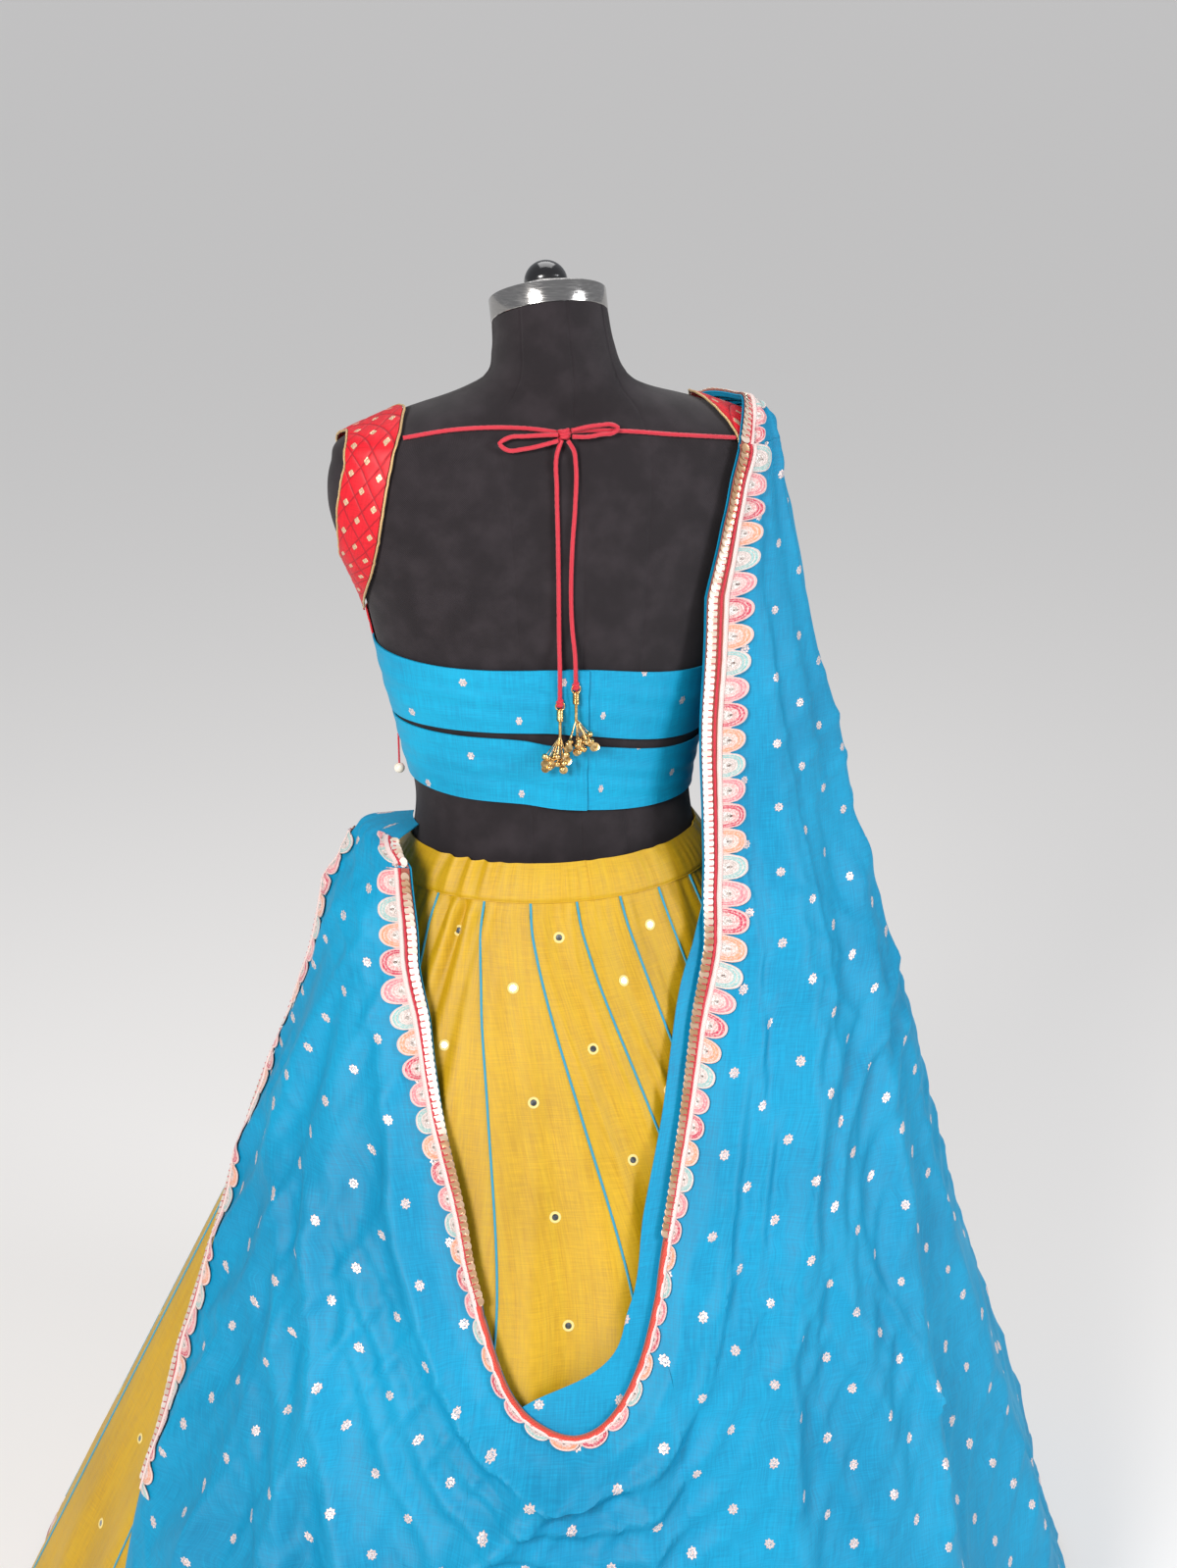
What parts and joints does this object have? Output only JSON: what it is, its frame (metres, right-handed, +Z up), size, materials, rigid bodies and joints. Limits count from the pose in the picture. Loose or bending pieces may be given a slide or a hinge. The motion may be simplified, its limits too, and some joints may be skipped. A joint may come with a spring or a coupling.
{
  "type": "lehenga choli on dress form",
  "caption": "South Asian lehenga choli on a limbless dress form: backless blouse with tied cords, panelled flared skirt, and a scarf with scalloped lace hanging in a U at the back.",
  "frame": {"origin": "on the floor under the middle of the form, at the centre of the stand's base", "axes": "+Z up, +X toward the wearer's right, +Y toward the wearer's front; the pictured back faces -Y"},
  "size_m": [1.1995, 1.2125, 1.4957],
  "materials": {
    "form_cloth": "matte black jersey over the padded form",
    "chrome": "polished",
    "black_gloss": "gloss",
    "black_metal": "satin",
    "red_silk": "brocade with small gold motifs",
    "gold_piping": "metallic thread",
    "blue_silk": "silk crepe with a soft sheen",
    "mustard_silk": "silk with a soft sheen and small mirrors",
    "pink_lace": "embroidered scalloped lace with sequins",
    "red_cord": "twisted cord",
    "gold": "polished thin wire and bells",
    "pearl": "pearl"
  },
  "bodies": {
    "root": {"form_torso": "form_cloth", "form_neck_cap": "chrome", "form_knob": "black_gloss", "form_pole": "black_metal", "form_base": "black_metal", "choli_front": "red_silk", "choli_side_left": "red_silk", "choli_side_right": "red_silk", "choli_strap_left": "red_silk", "choli_strap_right": "red_silk", "piping_neck_left": "gold_piping", "piping_neck_right": "gold_piping", "piping_armhole_left": "gold_piping", "piping_armhole_right": "gold_piping", "band_upper_left": "blue_silk", "band_upper_right": "blue_silk", "band_lower_left": "blue_silk", "band_lower_right": "blue_silk", "dori_left": "red_cord", "dori_right": "red_cord", "dori_loop_left": "red_cord", "dori_loop_right": "red_cord", "dori_tail_left": "red_cord", "dori_tail_right": "red_cord", "dori_knot": "red_cord", "latkan_left": "gold", "latkan_right": "gold", "pearl_drop": "pearl", "waistband": "mustard_silk", "hem_lace": "pink_lace", "dupatta_left": "blue_silk", "dupatta_swag": "blue_silk", "dupatta_fall": "blue_silk", "dupatta_shoulder": "blue_silk", "dupatta_front": "blue_silk", "dupatta_under_fold": "blue_silk", "lace_u_left": "pink_lace", "lace_u_right": "pink_lace", "lace_u_bottom": "pink_lace", "lace_short_end": "pink_lace", "kali_01": "mustard_silk", "kali_02": "mustard_silk", "kali_03": "mustard_silk", "kali_04": "mustard_silk", "kali_05": "mustard_silk", "kali_06": "mustard_silk", "kali_07": "mustard_silk", "kali_08": "mustard_silk", "kali_09": "mustard_silk", "kali_10": "mustard_silk", "kali_11": "mustard_silk", "kali_12": "mustard_silk", "kali_13": "mustard_silk", "kali_14": "mustard_silk", "kali_15": "mustard_silk", "kali_16": "mustard_silk", "kali_17": "mustard_silk", "kali_18": "mustard_silk", "kali_19": "mustard_silk", "kali_20": "mustard_silk"}
  },
  "joints": []
}
